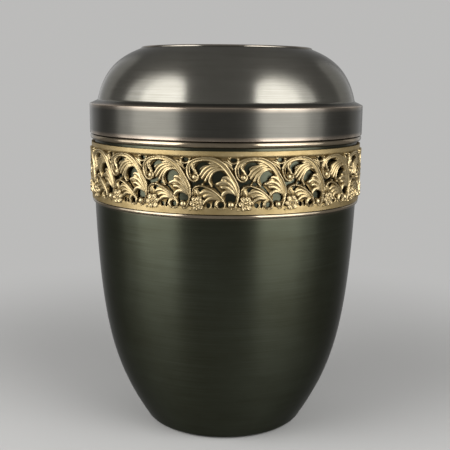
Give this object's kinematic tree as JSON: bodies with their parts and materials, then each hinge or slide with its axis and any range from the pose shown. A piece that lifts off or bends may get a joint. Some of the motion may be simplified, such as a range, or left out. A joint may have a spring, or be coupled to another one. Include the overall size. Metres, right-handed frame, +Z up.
{
  "type": "cremation urn",
  "caption": "Round spun-metal cremation urn with a tapering hollow body, a pierced leaf-and-flower band and a domed lift-off lid.",
  "frame": {"origin": "centre of the flat underside, on the surface that the urn stands on", "axes": "+Z up along the axis of the urn; the body and the lid are round about it"},
  "size_m": [0.1894, 0.1894, 0.262],
  "materials": {
    "patinated_body": "spun brass with a dark olive-gunmetal patina, brushed round the axis",
    "aged_brass": "aged gold-coloured brass relief with dark recesses",
    "patinated_lid": "spun brass with a dark gunmetal patina, brushed round the axis and more polished than the body"
  },
  "bodies": {
    "root": {"urn_body": "patinated_body", "ornament_band": "aged_brass", "lid": "patinated_lid"}
  },
  "joints": []
}
